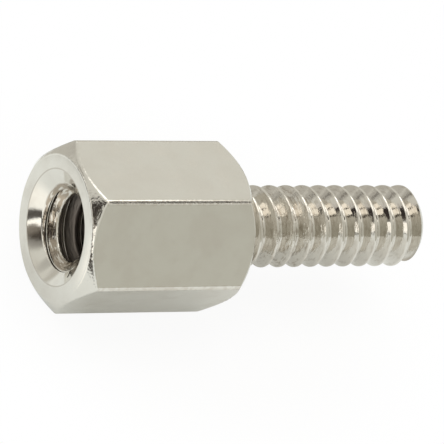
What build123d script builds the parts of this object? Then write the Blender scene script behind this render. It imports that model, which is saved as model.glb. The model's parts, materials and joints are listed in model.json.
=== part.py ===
from build123d import *
import os
from math import cos, radians, tan

# A hexagonal spacer turned from one bar, with a threaded stud at one end and a tapped
# blind hole at the other. All sizes are in millimetres. The axis runs along X, the
# shoulder that the stud stands out of is at X = 0, and the body lies on one of its flats.

# Hexagonal body
sides = 6
across_flats = 5.0
hex_length = 6.0
hex_edge_radius = 0.12

# Turned ends of the body: the circle left on each end face, and how far the chamfer
# reaches along the corners
mouth_face_diameter = 4.78
mouth_chamfer_length = 0.39
shoulder_face_diameter = 4.98
shoulder_chamfer_length = 0.36

# Stud: a short plain neck at the shoulder, then the thread, run out on a cone at the neck
# and chamfered at the tip
stud_length = 7.4
stud_diameter = 2.70
tip_chamfer = 0.26
neck_diameter = stud_diameter + 0.03
neck_length = 0.5
run_out_angle = 45

# Stud thread: one start, right-handed, with flat crests and roots
pitch = 0.635
flank_angle = 30
crest_flat = pitch / 8
root_flat = pitch / 6
thread_start = 0.22

# Tapped hole: the drilled wall, its point and the countersink at the mouth
bore_diameter = 2.20
bore_depth = 4.8
drill_point_angle = 118
countersink_diameter = 3.76
countersink_angle = 110

# How deep the thread's tooth is rooted in the core, how far it is wound past the tip before
# it is trimmed, where round the axis the core's seam lies, and how far cuts pass the faces
tooth_sink = 0.06
tooth_overrun = pitch
seam_angle = 137
overcut = 0.1

# Sizes that follow from the ones above
corner_radius = across_flats / 2 / cos(radians(180 / sides))
stud_radius = stud_diameter / 2
flank_slope = tan(radians(flank_angle))
thread_height = (pitch - crest_flat - root_flat) / 2 / flank_slope
root_radius = stud_radius - thread_height
neck_radius = neck_diameter / 2
run_out_length = (neck_radius - root_radius) / tan(radians(run_out_angle))
tooth_height = thread_height + tooth_sink
tooth_base = crest_flat + 2 * tooth_height * flank_slope
core_end = stud_length + tooth_overrun + pitch
trim_end = core_end + pitch
bore_radius = bore_diameter / 2
drill_point_length = bore_radius / tan(radians(drill_point_angle / 2))
countersink_radius = countersink_diameter / 2
countersink_slope = tan(radians(countersink_angle / 2))
countersink_depth = (countersink_radius - bore_radius) / countersink_slope

# Section of the hexagon, rounded at its edges and turned down to a chamfer at both ends
with BuildPart() as body:
    with BuildSketch(Plane.YZ.offset(-hex_length)) as section:
        RegularPolygon(across_flats / 2, sides, major_radius=False)
        fillet(section.vertices(), hex_edge_radius)
    extrude(amount=hex_length)
    with BuildSketch(Plane.XZ):
        with BuildLine():
            Polyline(
                (-hex_length, 0),
                (-hex_length, mouth_face_diameter / 2),
                (-hex_length + mouth_chamfer_length, corner_radius),
                (-shoulder_chamfer_length, corner_radius),
                (0, shoulder_face_diameter / 2),
                (0, 0),
                close=True,
            )
        make_face()
    revolve(axis=Axis.X, mode=Mode.INTERSECT)

# Stud: a core with its neck and the helical tooth of the thread wound on it. The tooth
# starts inside the neck, runs on past the tip and is trimmed there to the chamfer. The
# core's seam is kept away from the plane that the tooth starts on
with BuildPart() as stud:
    with BuildSketch(Plane.XZ.rotated((seam_angle, 0, 0))):
        with BuildLine():
            Polyline(
                (-overcut, 0),
                (-overcut, neck_radius),
                (neck_length, neck_radius),
                (neck_length + run_out_length, root_radius),
                (core_end, root_radius),
                (core_end, 0),
                close=True,
            )
        make_face()
    revolve(axis=Axis.X)
    with BuildLine() as helix:
        Helix(
            pitch,
            stud_length + tooth_overrun - thread_start,
            root_radius - tooth_sink,
            center=(thread_start, 0, 0),
            direction=(1, 0, 0),
        )
    tooth_start = helix.line @ 0
    outward = Vector(0, tooth_start.Y, tooth_start.Z).normalized()
    tooth_plane = Plane(tooth_start, x_dir=(1, 0, 0), z_dir=Vector(1, 0, 0).cross(outward))
    with BuildSketch(tooth_plane):
        with BuildLine():
            Polyline(
                (-tooth_base / 2, 0),
                (tooth_base / 2, 0),
                (crest_flat / 2, tooth_height),
                (-crest_flat / 2, tooth_height),
                close=True,
            )
        make_face()
    sweep(path=helix.line, is_frenet=True)
    with BuildSketch(Plane.XZ):
        with BuildLine():
            Polyline(
                (stud_length - tip_chamfer - overcut, stud_radius + overcut),
                (stud_length, stud_radius - tip_chamfer),
                (stud_length, 0),
                (trim_end, 0),
                (trim_end, stud_radius + overcut),
                close=True,
            )
        make_face()
    revolve(axis=Axis.X, mode=Mode.SUBTRACT)

# The finished piece: the body with its stud, and the hole drilled and countersunk in the
# other end
with BuildPart() as hex_standoff:
    add(body.part)
    add(stud.part)
    with BuildSketch(Plane.XZ):
        with BuildLine():
            Polyline(
                (-hex_length - overcut, 0),
                (-hex_length - overcut, countersink_radius + overcut * countersink_slope),
                (-hex_length + countersink_depth, bore_radius),
                (-hex_length + bore_depth, bore_radius),
                (-hex_length + bore_depth + drill_point_length, 0),
                close=True,
            )
        make_face()
    revolve(axis=Axis.X, mode=Mode.SUBTRACT)

hex_standoff.part.label = "hex_standoff"

os.makedirs("parts", exist_ok=True)
export_step(hex_standoff.part, "parts/hex_standoff.step")
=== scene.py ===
import json
from math import cos, pi, radians, sin, tan
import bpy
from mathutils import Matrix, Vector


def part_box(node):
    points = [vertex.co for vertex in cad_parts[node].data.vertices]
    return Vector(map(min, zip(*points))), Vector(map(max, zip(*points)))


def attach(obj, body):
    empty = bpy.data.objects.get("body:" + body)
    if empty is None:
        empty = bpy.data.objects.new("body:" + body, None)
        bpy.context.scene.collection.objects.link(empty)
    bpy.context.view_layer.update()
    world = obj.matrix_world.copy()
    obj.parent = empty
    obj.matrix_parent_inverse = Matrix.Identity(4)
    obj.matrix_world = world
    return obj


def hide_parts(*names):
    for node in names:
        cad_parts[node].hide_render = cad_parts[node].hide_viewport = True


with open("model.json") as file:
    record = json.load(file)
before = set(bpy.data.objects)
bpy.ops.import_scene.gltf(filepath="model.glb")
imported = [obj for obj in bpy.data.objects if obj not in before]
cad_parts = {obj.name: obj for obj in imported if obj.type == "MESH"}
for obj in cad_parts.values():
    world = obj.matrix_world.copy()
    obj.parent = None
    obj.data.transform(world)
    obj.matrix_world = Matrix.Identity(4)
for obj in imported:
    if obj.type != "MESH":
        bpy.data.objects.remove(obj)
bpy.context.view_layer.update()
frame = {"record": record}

from types import SimpleNamespace

import bmesh
import bpy
from mathutils import Matrix, Vector

bl_info = {
    "name": "Hex standoff",
    "version": (1, 0, 0),
    "blender": (4, 5, 0),
    "location": "View3D > Sidebar > Standoff",
    "description": "Models a turned hexagonal standoff with a threaded stud and a tapped hole",
    "category": "Add Mesh",
}

# The photograph's width, and its lens's focal length, in its own pixels
PICTURE_SIZE = 444
PICTURE_FOCAL = 5000.0

BODY = "root"
NODE = "hex_standoff"
PIECE = "turned_hex_standoff"

# The mesh is worked in millimetres, where the bevels and merges are sure, and is brought
# down to metres when it is whole
MILLIMETRES = 1000.0
MERGE = 1e-4
ON_PLANE = 1e-5

# Steps in one turn of the bar and of the threads, faces across a rounding, and the bend from
# which an edge is sharp
BAR_STEPS = 240
THREAD_STEPS = 96
ROUND_STEPS = 3
SHARP_BEND = radians(32)

# Where the crests of the two threads cross the +Y side, and where the stud's thread starts,
# inside the neck
CREST_AT = 0.055
TAP_CREST_AT = -5.46
THREAD_START = 0.2

# Roundings in millimetres: the countersink's rim, the rims of both end faces, the neck's end,
# the tip, and the crest and the root of each thread
RIM_SOFT = 0.018
FACE_SOFT = 0.03
NECK_SOFT = 0.02
TIP_SOFT = 0.05
STUD_SOFT = (0.03, 0.03)
TAP_SOFT = (0.02, 0.055)

# How far blanks pass what they trim, and how far the tap's core is wider than the bore
OVERCUT = 0.1
TAP_CLEARANCE = 0.005

mounts = {mount["name"]: mount for mount in frame["record"]["mounts"]}
low_corner, high_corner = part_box(NODE)


def mount_size(name, dimension):
    """A size of one of the record's mounts, in metres."""
    return mounts[name]["dims"][dimension] / MILLIMETRES


# Sizes that a user would change


def length(name, description, default, **more):
    return bpy.props.FloatProperty(
        name=name, description=description, default=default, min=0.0, precision=5,
        unit="LENGTH", **more)


def angle(name, description, degrees):
    return bpy.props.FloatProperty(
        name=name, description=description, default=radians(degrees), subtype="ANGLE")


def amount(name, description, default):
    return bpy.props.FloatProperty(
        name=name, description=description, default=default, min=0.0, subtype="FACTOR")


def colour(name, description, default):
    return bpy.props.FloatVectorProperty(
        name=name, description=description, default=default, size=3, min=0.0, max=1.0,
        subtype="COLOR")


class StandoffBodySizes(bpy.types.PropertyGroup):
    across_flats: length(
        "Across flats", "Distance between two opposite flats", high_corner.z - low_corner.z)
    body_length: length("Body length", "Length of the hexagonal body", -low_corner.x)
    edge_diameter: length(
        "Across edges", "Diameter that the long edges are rounded down to", 0.0057)
    edge_softness: length(
        "Edge softness", "Width of the rounding along the edges of the flats", 0.000023)
    mouth_diameter: length(
        "Mouth face", "Diameter of the flat ring round the mouth", 0.00478)
    mouth_chamfer: length(
        "Mouth chamfer", "How far the chamfer at the mouth reaches along the edges", 0.00039)
    shoulder_diameter: length(
        "Shoulder face", "Diameter of the flat ring round the stud", 0.00498)
    shoulder_chamfer: length(
        "Shoulder chamfer", "How far the chamfer at the shoulder reaches", 0.00036)


class StandoffHoleSizes(bpy.types.PropertyGroup):
    bore_diameter: length(
        "Bore", "Diameter between the crests of the inner thread",
        2 * mount_size("tapped_hole", "r_mm"))
    bore_depth: length("Bore depth", "Depth of the drilled wall", 0.0048)
    drill_point: angle("Drill point", "Angle of the cone at the bottom of the bore", 118)
    countersink_diameter: length(
        "Countersink", "Diameter of the countersink at the mouth", 0.00376)
    countersink: angle("Countersink angle", "Angle of the countersink", 110)
    tap_diameter: length("Tap", "Diameter between the roots of the inner thread", 0.00289)
    tap_depth: length("Tap depth", "Depth of the tapped thread", 0.0041)


class StandoffStudSizes(bpy.types.PropertyGroup):
    stud_length: length("Stud length", "Length of the stud from the shoulder", high_corner.x)
    stud_diameter: length(
        "Stud diameter", "Diameter over the crests of the thread",
        2 * mount_size("stud_thread", "r_mm"))
    neck_diameter: length(
        "Neck diameter", "Diameter of the plain neck", 2 * mount_size("stud", "r_mm"))
    neck_length: length(
        "Neck length", "Length of the plain neck", mount_size("stud", "length_mm"))
    tip_chamfer: length("Tip chamfer", "Chamfer at the tip of the stud", 0.00026)
    pitch: length("Pitch", "Distance from one turn of the thread to the next", 0.000635)
    flank: angle("Flank angle", "Slope of the thread's flanks", 30)


class StandoffPlating(bpy.types.PropertyGroup):
    nickel: colour(
        "Nickel", "Colour of the clean plating",
        tuple(frame["record"]["materials"][0]["base_color"]))
    tarnish: colour("Tarnish", "Colour of the faint stains in the plating", (0.58, 0.53, 0.47))
    thin_coat: colour(
        "Thin coat", "Colour where the plating is thin, in the threads", (0.36, 0.31, 0.25))
    # Painted shade: the bore behind its first turn is painted this darker colour, in place of the
    # shadow deep in the hole
    dull_bore: colour("Painted bore shade", "Colour of the bore behind its first turn", (0.25, 0.22, 0.20))
    gloss: amount("Roughness", "Roughness of the clean plating", 0.18)


class StandoffStage(bpy.types.PropertyGroup):
    floor: colour("Floor", "Colour of the floor", (0.86, 0.86, 0.85))
    room: amount("Room light", "Strength of the even light all round", 0.78)


# Mesh work, all of it in millimetres


def worked(group):
    """A group's values as plain numbers: its lengths in millimetres, its angles as they are."""
    values = {}
    for name in group.__annotations__:
        scale = MILLIMETRES if group.bl_rna.properties[name].unit == "LENGTH" else 1
        values[name] = getattr(group, name) * scale
    return SimpleNamespace(**values)


def put_line(bm, points, rounded):
    """Draws a line of (x, radius) points above the axis and rounds the corners asked for."""
    corners = [bm.verts.new((x, 0.0, radius)) for x, radius in points]
    for start, end in zip(corners, corners[1:]):
        bm.edges.new((start, end))
    for number, width in rounded.items():
        bmesh.ops.bevel(
            bm, geom=[corners[number]], offset=width, offset_type="OFFSET",
            segments=ROUND_STEPS, profile=0.5, affect="VERTICES", material=-1)


def turn(bm, steps):
    """Turns the drawn line once round the X axis and closes it where it meets the axis."""
    bmesh.ops.spin(
        bm, geom=bm.verts[:] + bm.edges[:], cent=(0, 0, 0), axis=(1, 0, 0), dvec=(0, 0, 0),
        angle=2 * pi, space=Matrix.Identity(4), steps=steps, use_merge=True)
    bmesh.ops.remove_doubles(bm, verts=bm.verts[:], dist=MERGE)
    bmesh.ops.recalc_face_normals(bm, faces=bm.faces[:])


def keep_mesh(bm, name):
    """Makes an object of the finished bmesh and links it to the scene."""
    mesh = bpy.data.meshes.new(name)
    bm.to_mesh(mesh)
    bm.free()
    made = bpy.data.objects.new(name, mesh)
    bpy.context.scene.collection.objects.link(made)
    return made


def turned(name, points, rounded):
    bm = bmesh.new()
    put_line(bm, points, rounded)
    turn(bm, THREAD_STEPS)
    return keep_mesh(bm, name)


def threaded_rod(
        name, outer, inner, pitch, crest, root, softness, start, turns, crest_at):
    """A closed rod with a right-handed thread, its crest on the +Y side at crest_at."""
    bm = bmesh.new()
    flank = (pitch - crest - root) / 2
    first = crest_at + pitch * round((start - crest_at) / pitch) - pitch / 2
    line = [
        (0, inner),
        (root / 2, inner),
        (root / 2 + flank, outer),
        (root / 2 + flank + crest, outer),
        (pitch - root / 2, inner),
        (pitch, inner),
    ]
    at_crest, at_root = softness
    put_line(
        bm, [(first + x, radius) for x, radius in line],
        {1: at_root, 2: at_crest, 3: at_crest, 4: at_root})
    # The line stands above the axis, a quarter turn on from +Y
    bmesh.ops.translate(bm, verts=bm.verts[:], vec=(pitch / 4, 0, 0))
    bmesh.ops.spin(
        bm, geom=bm.verts[:] + bm.edges[:], cent=(0, 0, 0), axis=(1, 0, 0),
        dvec=(pitch / THREAD_STEPS, 0, 0), angle=2 * pi, space=Matrix.Identity(4),
        steps=THREAD_STEPS, use_merge=False)
    winding = bm.verts[:] + bm.edges[:] + bm.faces[:]
    for number in range(1, turns):
        copied = bmesh.ops.duplicate(bm, geom=winding)["geom"]
        bmesh.ops.translate(
            bm, verts=[part for part in copied if isinstance(part, bmesh.types.BMVert)],
            vec=(pitch * number, 0, 0))
    bmesh.ops.remove_doubles(bm, verts=bm.verts[:], dist=MERGE)
    rims = [edge for edge in bm.edges if edge.is_boundary]
    middle = sum(edge.verts[0].co.x for edge in rims) / len(rims)
    for side in (-1, 1):
        rim = [edge for edge in rims if (edge.verts[0].co.x - middle) * side > 0]
        made = bmesh.ops.extrude_edge_only(bm, edges=rim)["geom"]
        cap = [part for part in made if isinstance(part, bmesh.types.BMVert)]
        end = max(vert.co.x * side for vert in cap) * side
        bmesh.ops.pointmerge(bm, verts=cap, merge_co=(end + side * pitch / 2, 0, 0))
    bmesh.ops.recalc_face_normals(bm, faces=bm.faces[:])
    return keep_mesh(bm, name)


def combine(work, tool, operation):
    """Joins, cuts or trims a solid with another one, which is used up."""
    faces = len(work.data.polygons)
    step = work.modifiers.new(operation.title(), "BOOLEAN")
    step.operation = operation
    step.solver = "MANIFOLD"
    step.object = tool
    evaluated = work.evaluated_get(bpy.context.evaluated_depsgraph_get())
    before, work_mesh = work.data, bpy.data.meshes.new_from_object(evaluated)
    work.modifiers.clear()
    work.data = work_mesh
    bpy.data.meshes.remove(before)
    spare = tool.data
    bpy.data.objects.remove(tool)
    bpy.data.meshes.remove(spare)
    if not work.data.polygons or len(work.data.polygons) == faces:
        raise RuntimeError(f"the {operation.lower()} didn't change {work.name}")


def milled_body(body, hole, stud):
    """The turned bar with its six flats, hole and neck, before the threads are cut."""
    bm = bmesh.new()
    front = -body.body_length
    edge = body.edge_diameter / 2
    corner = body.across_flats / 2 / cos(radians(30))
    mouth = body.mouth_diameter / 2
    shoulder = body.shoulder_diameter / 2
    bore = hole.bore_diameter / 2
    rim = hole.countersink_diameter / 2
    wall_start = front + (rim - bore) / tan(hole.countersink / 2)
    wall_end = front + hole.bore_depth
    drill_tip = wall_end + bore / tan(hole.drill_point / 2)
    neck = stud.neck_diameter / 2
    neck_end = stud.neck_length
    # Both chamfers are drawn to the sharp corners and end where the rounded edges begin
    mouth_reach = body.mouth_chamfer * (edge - mouth) / (corner - mouth)
    shoulder_reach = body.shoulder_chamfer * (edge - shoulder) / (corner - shoulder)
    put_line(bm, [
        (drill_tip, 0),
        (wall_end, bore),
        (wall_start, bore),
        (front, rim),
        (front, mouth),
        (front + mouth_reach, edge),
        (-shoulder_reach, edge),
        (0, shoulder),
        (0, neck),
        (neck_end, neck),
        (neck_end + neck, 0),
    ], {3: RIM_SOFT, 4: FACE_SOFT, 7: FACE_SOFT, 9: NECK_SOFT})
    turn(bm, BAR_STEPS)
    half = body.across_flats / 2
    flats = []
    for number in range(6):
        facing = radians(30 + 60 * number)
        outward = Vector((0, cos(facing), sin(facing)))
        cut = bmesh.ops.bisect_plane(
            bm, geom=bm.verts[:] + bm.edges[:] + bm.faces[:], dist=ON_PLANE,
            plane_co=outward * half, plane_no=outward, clear_outer=True)
        rims = [part for part in cut["geom_cut"] if isinstance(part, bmesh.types.BMEdge)]
        flats += bmesh.ops.edgeloop_fill(bm, edges=rims)["faces"]
    bmesh.ops.recalc_face_normals(bm, faces=bm.faces[:])
    flats = set(flats)
    edges = [edge for edge in bm.edges if flats & set(edge.link_faces)]
    bmesh.ops.bevel(
        bm, geom=edges, offset=body.edge_softness, offset_type="OFFSET",
        segments=ROUND_STEPS, profile=0.5, affect="EDGES", material=-1, clamp_overlap=False)
    return keep_mesh(bm, PIECE)


def cut_stud(work, stud):
    """Winds the outer thread and joins it to the body under its neck."""
    pitch = stud.pitch
    outer = stud.stud_diameter / 2
    crest, root = pitch / 8, pitch / 6
    inner = outer - (pitch - crest - root) / 2 / tan(stud.flank)
    end, chamfer = stud.stud_length, stud.tip_chamfer
    # Two turns more than the stud holds are wound at each end before the blank trims them
    turns = round(end / pitch) + 4
    thread = threaded_rod(
        "thread", outer, inner, pitch, crest, root, STUD_SOFT, -2 * pitch, turns, CREST_AT)
    blank = turned("blank", [
        (THREAD_START, 0),
        (THREAD_START, outer + OVERCUT),
        (end - chamfer - OVERCUT, outer + OVERCUT),
        (end, outer - chamfer),
        (end, 0),
    ], {3: TIP_SOFT})
    combine(thread, blank, "INTERSECT")
    combine(work, thread, "UNION")


def cut_tap(work, body, hole, stud):
    """Cuts the inner thread into the wall of the bore."""
    pitch = stud.pitch
    outer = hole.tap_diameter / 2
    inner = hole.bore_diameter / 2 + TAP_CLEARANCE
    crest = pitch / 8
    root = pitch - crest - 2 * (outer - inner) * tan(stud.flank)
    front = -body.body_length
    turns = round(hole.tap_depth / pitch) + 1
    tap = threaded_rod(
        "tap", outer, inner, pitch, crest, root, TAP_SOFT, front - pitch, turns, TAP_CREST_AT)
    combine(work, tap, "DIFFERENCE")


def finish_piece(work, material):
    """Brings the solid to metres, and shades its flats flat and its rounded edges round."""
    bm = bmesh.new()
    bm.from_mesh(work.data)
    bmesh.ops.remove_doubles(bm, verts=bm.verts[:], dist=MERGE)
    bmesh.ops.dissolve_degenerate(bm, edges=bm.edges[:], dist=MERGE)
    bmesh.ops.recalc_face_normals(bm, faces=bm.faces[:])
    bmesh.ops.scale(bm, vec=(1 / MILLIMETRES,) * 3, verts=bm.verts[:])
    bm.to_mesh(work.data)
    bm.free()
    work.data.shade_smooth()
    work.data.set_sharp_from_angle(angle=SHARP_BEND)
    work.data.materials.clear()
    work.data.materials.append(material)
    weighted = work.modifiers.new("Weighted normals", "WEIGHTED_NORMAL")
    weighted.keep_sharp = True


# Shader nodes


class Value:
    """A number or vector on its way through a material. Sums on it add Math nodes."""

    def __init__(self, nodes, socket):
        self.nodes = nodes
        self.socket = socket

    def part(self, name):
        """Another output of the same node."""
        return Value(self.nodes, self.socket.node.outputs[name])

    def math(self, operation, *others, clamp=False):
        inputs = dict(enumerate((self,) + others))
        return self.nodes.add(
            "ShaderNodeMath", {"operation": operation, "use_clamp": clamp}, inputs)

    def reversed_math(self, operation, other):
        return self.nodes.add("ShaderNodeMath", {"operation": operation}, {0: other, 1: self})

    def __add__(self, other):
        return self.math("ADD", other)

    def __sub__(self, other):
        return self.math("SUBTRACT", other)

    def __mul__(self, other):
        return self.math("MULTIPLY", other)

    def __truediv__(self, other):
        return self.math("DIVIDE", other)

    def __pow__(self, other):
        return self.math("POWER", other)

    def __radd__(self, other):
        return self.reversed_math("ADD", other)

    def __rsub__(self, other):
        return self.reversed_math("SUBTRACT", other)

    def clamped(self):
        return self.math("ADD", 0.0, clamp=True)

    def most(self, other):
        return self.math("MAXIMUM", other)

    def step(self, low, high):
        """0 below low, 1 above high, and a smooth rise between them."""
        return self.nodes.add(
            "ShaderNodeMapRange", {"interpolation_type": "SMOOTHSTEP"},
            {"Value": self, "From Min": low, "From Max": high})


class Nodes:
    """Adds nodes to a material's or a world's tree, which it empties first."""

    def __init__(self, tree):
        self.tree = tree
        tree.nodes.clear()

    def add(self, kind, settings=None, inputs=None, output=0):
        """Adds a node of this kind and hands back one of its outputs."""
        node = self.tree.nodes.new(kind)
        for name, value in (settings or {}).items():
            setattr(node, name, value)
        for name, value in (inputs or {}).items():
            if isinstance(value, Value):
                self.tree.links.new(value.socket, node.inputs[name])
            else:
                node.inputs[name].default_value = value
        return Value(self, node.outputs[output]) if node.outputs else None

    def mix(self, factor, first, second):
        """Blends two colours."""
        return self.add(
            "ShaderNodeMix", {"data_type": "RGBA"}, {0: factor, 6: first, 7: second}, output=2)

    def blend(self, share, first, second):
        """Blends two surfaces."""
        return self.add("ShaderNodeMixShader", None, {0: share, 1: first, 2: second})

    def glow(self, shade, strength=1.0):
        return self.add("ShaderNodeEmission", None, {"Color": shade, "Strength": strength})

    def noise(self, place, scale, detail=3.0, roughness=0.55, stretch=None):
        """Noise from 0 to 1 with scale in marks per metre, drawn out along X by stretch."""
        if stretch:
            place = self.add(
                "ShaderNodeMapping", None, {"Vector": place, "Scale": (1 / stretch, 1, 1)})
        return self.add(
            "ShaderNodeTexNoise", None,
            {"Vector": place, "Scale": scale, "Detail": detail, "Roughness": roughness})


def opaque(shade):
    return (*shade, 1.0)


# Where the finish changes, in metres. Each pair is where a fade starts and where it ends, along
# the axis (X) or out from it (R)
SHOULDER_X = (-0.0001, 0.0001)
MOUTH_FACE_X = (-0.00599, -0.00597)
COUNTERSINK_X = (-0.00531, -0.00527)
FIRST_TURN_X = (-0.00514, -0.00500)
WORN_START_X = (0.0012, 0.0017)
WORN_END_X = (0.0029, 0.0036)
TIP_X = (0.00721, 0.00727)
BORE_R = (0.00111, 0.00116)
HOLE_R = (0.00139, 0.00146)
COUNTERSINK_R = (0.00188, 0.00191)
EDGE_R = (0.00281, 0.002845)

# The dark line at the countersink's rim: its radius, and how far from it the line fades
RIM_R = 0.00189
RIM_FADE = (0.000010, 0.000032)

# The cone of the mouth's chamfer is along = radius * CONE_SLOPE - CONE_BASE
CONE_SLOPE = 0.785
CONE_BASE = 0.007876
CONE_FADE = (0.00003, 0.00006)

# Where the worn rim of each flat starts, out from the axis, and how steeply it wears from there
BURR_START = 0.00243
BURR_RISE = 15000.0

# How long a streak runs round the axis: the metres of noise that one radian takes
STREAK_REACH = 0.0003


def nickel_plating(plating):
    """Bright nickel over turned brass: drawn flats, worn edges, a thin brown coat inside and
    painted shade deep in the bore.
    """
    material = bpy.data.materials.new("Nickel plating")
    material.use_nodes = True
    nodes = Nodes(material.node_tree)
    place = nodes.add("ShaderNodeTexCoord", output="Object")
    along = nodes.add("ShaderNodeSeparateXYZ", None, {0: place}, output="X")
    across, up = along.part("Y"), along.part("Z")
    radius = (across * across + up * up) ** 0.5
    # Streaks run round the axis, and the place where they start over is low on the far side
    around = (up + across).math("ARCTAN2", up - across)
    wrapped = nodes.add(
        "ShaderNodeCombineXYZ", None, {"X": along, "Y": around * STREAK_REACH, "Z": radius})

    on_stud = along.step(*SHOULDER_X)
    on_body = 1.0 - on_stud
    in_mouth = (1.0 - along.step(*COUNTERSINK_X)) * (1.0 - radius.step(*COUNTERSINK_R))
    in_hole = on_body * (1.0 - radius.step(*HOLE_R))
    # Painted shade deep in the bore, behind its first turn, where the bore is also rougher
    deep = in_hole * along.step(*FIRST_TURN_X)
    off_cone = (along - radius * CONE_SLOPE + CONE_BASE).math("ABSOLUTE")
    on_chamfer = 1.0 - off_cone.step(*CONE_FADE)
    # How far out the nearest flat lies, as if all six were planes without an end
    slanting = across * cos(radians(30))
    flat = up.math("ABSOLUTE").most((slanting + up * 0.5).math("ABSOLUTE")).most(
        (slanting - up * 0.5).math("ABSOLUTE"))
    burr = on_chamfer * ((flat - BURR_START) * BURR_RISE).clamped()
    worn_turns = along.step(*WORN_START_X) * (1.0 - along.step(*WORN_END_X))
    at_tip = along.step(*TIP_X)
    off_rim = (radius - RIM_R).math("ABSOLUTE")
    at_rim = (1.0 - along.step(*MOUTH_FACE_X)) * (1.0 - off_rim.step(*RIM_FADE))
    at_edge = on_body * radius.step(*EDGE_R)

    clouds = nodes.noise(place, 900.0)
    stains = nodes.noise(place, 1600.0, detail=2.0).step(0.5, 0.75)
    dents = nodes.noise(place, 5500.0)
    specks = nodes.noise(place, 9000.0)
    grain = nodes.noise(place, 22000.0, detail=2.0)
    drawn = nodes.noise(place, 16000.0, detail=2.0, stretch=9.0)
    streaks = nodes.noise(wrapped, 12000.0, detail=2.0)

    nickel, tarnish = opaque(plating.nickel), opaque(plating.tarnish)
    thin_coat, dull_bore = opaque(plating.thin_coat), opaque(plating.dull_bore)
    shade = nodes.mix(clouds.step(0.35, 0.7) * 0.22, nickel, tarnish)
    shade = nodes.mix(stains * 0.18, shade, tarnish)
    brown = in_hole * radius.step(*BORE_R) * (1.0 - streaks.step(0.50, 0.62) * 0.8)
    shade = nodes.mix(brown, shade, thin_coat)
    # Painted shade: the bore behind its first turn is painted darker
    shade = nodes.mix(deep, shade, dull_bore)
    shade = nodes.mix(at_edge * specks.step(0.42, 0.6) * 0.5, shade, tarnish)
    shade = nodes.mix(on_stud * 0.32, shade, tarnish)
    browned = on_stud * streaks.step(0.48, 0.68) * (0.3 + worn_turns * 0.35)
    shade = nodes.mix(browned, shade, thin_coat)
    shade = nodes.mix((at_tip * 0.75 + at_rim * 0.45).clamped(), shade, thin_coat)

    polished = (in_mouth + on_chamfer + in_hole).clamped()
    roughness = (
        plating.gloss + (clouds - 0.5) * 0.10 + (grain - 0.5) * 0.06 + stains * 0.06
        - polished * 0.09 - on_stud * 0.11 + deep * 0.35)
    # Heights in units of the bump's own distance
    height = (
        drawn * 0.25 + grain * 0.2
        + specks * (in_hole * 6.0 + at_edge * 4.0 + in_mouth * 0.5)
        + dents * (on_chamfer * 12.0 + on_stud * 3.0 + worn_turns * 8.0)
        + streaks * (in_hole * 10.0 + on_stud * 3.0 + worn_turns * 5.0)
        - burr * burr * 12.0)
    bump = nodes.add(
        "ShaderNodeBump", None, {"Strength": 0.35, "Distance": 0.000004, "Height": height})
    surface = nodes.add("ShaderNodeBsdfPrincipled", None, {
        "Base Color": shade,
        "Metallic": 1.0,
        "Roughness": roughness,
        "Normal": bump,
    })
    nodes.add("ShaderNodeOutputMaterial", None, {"Surface": surface})
    return material


# Darker and brighter patches in the light all round: the direction they lie in, the angles in
# degrees that they fade between, their colour and how much of it shows. A later patch lies over
# an earlier one
TENT_PATCHES = (
    ((-0.950, 0.06, 0.30), 8, 17, (0.36, 0.34, 0.31), 0.88),
    ((-0.978, -0.05, 0.20), 8, 12, (0.09, 0.075, 0.06), 0.97),
    ((-0.93, 0.03, 0.365), 8, 10.5, (0.06, 0.05, 0.045), 1.0),
    ((-0.875, 0.24, 0.42), 4.5, 7, (0.95, 0.92, 0.86), 0.95),
    ((-0.67, 0.68, 0.30), 7, 13, (0.52, 0.50, 0.46), 0.6),
    ((-0.69, 0.65, 0.32), 2.5, 4, (0.08, 0.065, 0.05), 0.5),
    ((-0.999, -0.02, 0.0), 5, 10, (0.36, 0.32, 0.27), 0.8),
    ((-0.970, -0.22, 0.05), 5, 7.5, (1.9, 1.86, 1.76), 1.0),
    ((-0.935, -0.34, 0.09), 6, 9, (1.9, 1.84, 1.7), 1.0),
    ((0.52, 0.0, 0.85), 21, 29, (1.75, 1.72, 1.6), 0.95),
    ((0.52, -0.21, 0.83), 6.5, 9, (0.05, 0.04, 0.03), 1.0),
    ((-0.11, 0.19, 0.975), 20, 25, (2.3, 2.25, 2.12), 1.0),
    ((-0.09, 0.22, 0.97), 3, 4.5, (0.08, 0.065, 0.05), 1.0),
    ((0.01, -0.27, 0.96), 3.5, 5.5, (0.12, 0.10, 0.08), 1.0),
    ((-0.21, 0.97, 0.05), 12, 26, (0.76, 0.74, 0.68), 0.95),
)


def light_card(name, place, size, watts):
    """A soft square studio light at place that faces the piece."""
    data = bpy.data.lights.new(name, "AREA")
    data.size = size
    data.energy = watts
    lamp = bpy.data.objects.new(name, data)
    bpy.context.scene.collection.objects.link(lamp)
    facing = (-Vector(place)).to_track_quat("-Z", "Y").to_matrix().to_4x4()
    lamp.matrix_world = Matrix.Translation(Vector(place)) @ facing


# The floor's radius, how far out the shadow close to the piece fades, and the painted light
# that reflections see on the floor: where its painted glow grows, and its painted grey far side,
# dark band, window and bright spot. Each pair is where a fade starts and where it ends. FAR is
# out from the origin and ALONG is along the axis, both in metres. WARD and SIDE are X and Y
# divided by how far out a place is
FLOOR_RADIUS = 1.0
SHADOW_FAR = (0.005, 0.010)
PAINTED_GLOW_FAR = (0.005, 0.0075)
PAINTED_GLOW_ALONG = (-0.005, 0.003)
BACK_FAR = (0.009, 0.014)
BACK_SIDE = (0.45, 0.7)
MOUTH_WARD = (-0.88, -0.80)
BAND_NEAR_FAR = (0.0125, 0.0140)
BAND_END_FAR = (0.025, 0.029)
PAINTED_WINDOW_FAR = (0.027, 0.031)
PAINTED_WINDOW_SIDE = (-0.50, -0.42)
PAINTED_SPOT_PLACE = (-0.0108, -0.0004, low_corner.z)
PAINTED_SPOT_FADE = (0.0018, 0.0034)


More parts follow.
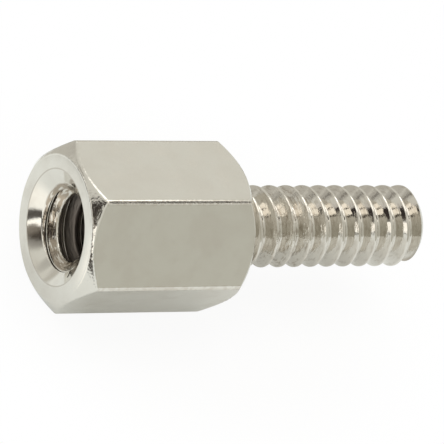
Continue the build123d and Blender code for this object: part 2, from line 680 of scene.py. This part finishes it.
def pale_floor(stage):
    """A large floor under the piece, white to the camera, soft with its shadow, and with painted
    light for reflections.
    """
    bm = bmesh.new()
    bmesh.ops.create_circle(bm, cap_ends=True, segments=64, radius=FLOOR_RADIUS)
    bmesh.ops.translate(bm, verts=bm.verts[:], vec=(0, 0, low_corner.z))
    floor = keep_mesh(bm, "floor")
    material = bpy.data.materials.new("Pale paper")
    material.use_nodes = True
    nodes = Nodes(material.node_tree)
    place = nodes.add("ShaderNodeTexCoord", output="Object")
    along = nodes.add("ShaderNodeSeparateXYZ", None, {0: place}, output="X")
    far = nodes.add("ShaderNodeVectorMath", {"operation": "LENGTH"}, {0: place}, output="Value")
    side = along.part("Y") / far
    paper = nodes.noise(place, 300.0)
    shade = nodes.mix(paper * 0.05, opaque(stage.floor), opaque((0.80, 0.80, 0.79)))
    lit = nodes.add("ShaderNodeBsdfDiffuse", None, {"Color": shade})

    # Reflections see painted light on the paper: a painted glow, weaker close to the piece, with
    # a painted grey far side and, towards the mouth, a painted bright spot, a dark band and a
    # window beyond it. The camera sees none of this
    mirrored = nodes.add("ShaderNodeLightPath", output="Is Glossy Ray")
    # Painted light: a glow that only reflections see, weaker close to the piece as a painted
    # shadow
    painted_glow_share = (0.16 + along.step(*PAINTED_GLOW_ALONG) * 0.14 + far.step(*PAINTED_GLOW_FAR) * 0.42).clamped()
    glow = nodes.glow(opaque((0.96, 1.0, 0.985)), 1.08)
    lit = nodes.blend(mirrored * painted_glow_share, lit, glow)
    # Painted shade: a grey glow on the far side that only reflections see
    shaded = side.step(*BACK_SIDE) * far.step(*BACK_FAR)
    grey = nodes.glow(opaque((0.58, 0.56, 0.50)))
    lit = nodes.blend(mirrored * shaded * 0.88, lit, grey)
    to_mouth = 1.0 - (along / far).step(*MOUTH_WARD)
    # Painted light: a bright spot on the paper in front of the mouth, which only reflections see
    from_spot = nodes.add(
        "ShaderNodeVectorMath", {"operation": "DISTANCE"}, {0: place, 1: PAINTED_SPOT_PLACE},
        output="Value")
    painted_spot = 1.0 - from_spot.step(*PAINTED_SPOT_FADE)
    # Painted light: a window far out towards the mouth, which only reflections see
    painted_window = to_mouth * side.step(*PAINTED_WINDOW_SIDE) * far.step(*PAINTED_WINDOW_FAR)
    bright = nodes.glow(opaque((1.0, 0.98, 0.92)), 1.6)
    lit = nodes.blend(mirrored * (painted_spot * 0.55 + painted_window * 0.9).clamped(), lit, bright)
    # Painted shade: a dark band towards the mouth, which only reflections see
    band = to_mouth * far.step(*BAND_NEAR_FAR) * (1.0 - far.step(*BAND_END_FAR))
    dim = nodes.glow(opaque((0.07, 0.06, 0.05)))
    lit = nodes.blend(mirrored * band * 0.97, lit, dim)

    # The camera sees white, with a trace of the shadow close to the piece
    ray = nodes.add("ShaderNodeLightPath", output="Is Camera Ray")
    share = ray * (0.92 + far.step(*SHADOW_FAR) * 0.08)
    white = nodes.glow(opaque((1.0, 1.0, 1.0)))
    surface = nodes.blend(share, lit, white)
    nodes.add("ShaderNodeOutputMaterial", None, {"Surface": surface})
    floor.data.materials.append(material)


# The room's colour, and its darker colour on the side that the photograph was taken from. One
# fades into the other while a direction's Y goes from the second number of the pair to the first
ROOM_SHADE = (1.0, 0.99, 0.91)
NEAR_SHADE = (0.74, 0.735, 0.65)
NEAR_SIDE = (-0.95, -0.35)


def studio_world(stage):
    """Even warm light all round, white to the camera, with the patches of a light tent."""
    world = bpy.data.worlds.new("Studio")
    bpy.context.scene.world = world
    world.use_nodes = True
    nodes = Nodes(world.node_tree)
    facing = nodes.add("ShaderNodeTexCoord", output="Generated")
    sideways = nodes.add("ShaderNodeSeparateXYZ", None, {0: facing}, output="Y")
    near_side = 1.0 - sideways.step(*NEAR_SIDE)
    room = nodes.mix(near_side, opaque(ROOM_SHADE), opaque(NEAR_SHADE))
    for toward, inner, outer, shade, share in TENT_PATCHES:
        close = nodes.add(
            "ShaderNodeVectorMath", {"operation": "DOT_PRODUCT"},
            {0: facing, 1: Vector(toward).normalized()}, output="Value")
        patch = close.step(cos(radians(outer)), cos(radians(inner)))
        room = nodes.mix(patch * share, room, opaque(shade))
    ray = nodes.add("ShaderNodeLightPath", output="Is Camera Ray")
    shown = nodes.mix(ray, room, opaque((1.0, 1.0, 1.0)))
    strength = ray * (1.0 - stage.room) + stage.room
    light = nodes.add("ShaderNodeBackground", None, {"Color": shown, "Strength": strength})
    nodes.add("ShaderNodeOutputWorld", None, {"Surface": light})


# The photograph's camera, from a fit to its outline: where it stands, in metres, and its own
# axes as the columns of a matrix. Then its sensor's width in millimetres and what it can see
CAMERA_PLACE = (-0.084681, -0.099718, 0.097056)
CAMERA_AXES = (
    (0.85358329, 0.00419298, -0.52093952),
    (-0.37710592, 0.69488471, -0.61231231),
    (0.3594255, 0.71910894, 0.59472317),
)
SENSOR_WIDTH = 36.0
CLIP = (0.005, 10.0)


def picture_camera():
    """The camera of the photograph: a long lens from above, on the side of the hole."""
    data = bpy.data.cameras.new("picture camera")
    data.sensor_width = SENSOR_WIDTH
    data.lens = PICTURE_FOCAL / PICTURE_SIZE * SENSOR_WIDTH
    data.clip_start, data.clip_end = CLIP
    camera = bpy.data.objects.new("picture camera", data)
    bpy.context.scene.collection.objects.link(camera)
    turned_to = Matrix(CAMERA_AXES).to_4x4()
    camera.matrix_world = Matrix.Translation(Vector(CAMERA_PLACE)) @ turned_to
    bpy.context.scene.camera = camera


# Operators and panel


class STANDOFF_OT_piece(bpy.types.Operator):
    """Model the standoff: mill the bar, wind the stud's thread and tap the hole"""

    bl_idname = "standoff.piece"
    bl_label = "Hex Standoff"

    def execute(self, context):
        scene = context.scene
        body = worked(scene.standoff_body)
        hole = worked(scene.standoff_hole)
        stud = worked(scene.standoff_stud)
        work = milled_body(body, hole, stud)
        cut_stud(work, stud)
        cut_tap(work, body, hole, stud)
        finish_piece(work, nickel_plating(scene.standoff_plating))
        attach(work, BODY)
        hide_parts(NODE)
        return {"FINISHED"}


class STANDOFF_OT_stage(bpy.types.Operator):
    """Set the pale floor, the soft lights and the camera"""

    bl_idname = "standoff.stage"
    bl_label = "Stage"

    def execute(self, context):
        stage = context.scene.standoff_stage
        context.scene.view_settings.view_transform = "Standard"
        pale_floor(stage)
        studio_world(stage)
        light_card("high light", place=(0.075, 0.135, 0.258), size=0.10, watts=0.06)
        picture_camera()
        return {"FINISHED"}


class STANDOFF_PT_panel(bpy.types.Panel):
    bl_idname = "STANDOFF_PT_panel"
    bl_label = "Hex Standoff"
    bl_space_type = "VIEW_3D"
    bl_region_type = "UI"
    bl_category = "Standoff"

    def draw(self, context):
        column = self.layout.column()
        for title, owner in (
                ("Body", context.scene.standoff_body),
                ("Hole", context.scene.standoff_hole),
                ("Stud", context.scene.standoff_stud),
                ("Plating", context.scene.standoff_plating),
                ("Stage", context.scene.standoff_stage)):
            column.label(text=title)
            for name in owner.__annotations__:
                column.prop(owner, name)
        column.operator(STANDOFF_OT_piece.bl_idname)
        column.operator(STANDOFF_OT_stage.bl_idname)


GROUPS = {
    "standoff_body": StandoffBodySizes,
    "standoff_hole": StandoffHoleSizes,
    "standoff_stud": StandoffStudSizes,
    "standoff_plating": StandoffPlating,
    "standoff_stage": StandoffStage,
}
CLASSES = (*GROUPS.values(), STANDOFF_OT_piece, STANDOFF_OT_stage, STANDOFF_PT_panel)


def register():
    for each in CLASSES:
        bpy.utils.register_class(each)
    for name, group in GROUPS.items():
        setattr(bpy.types.Scene, name, bpy.props.PointerProperty(type=group))


def unregister():
    for name in GROUPS:
        delattr(bpy.types.Scene, name)
    for each in reversed(CLASSES):
        bpy.utils.unregister_class(each)


def main():
    register()
    bpy.ops.standoff.piece()
    bpy.ops.standoff.stage()


if __name__ == "__main__":
    main()
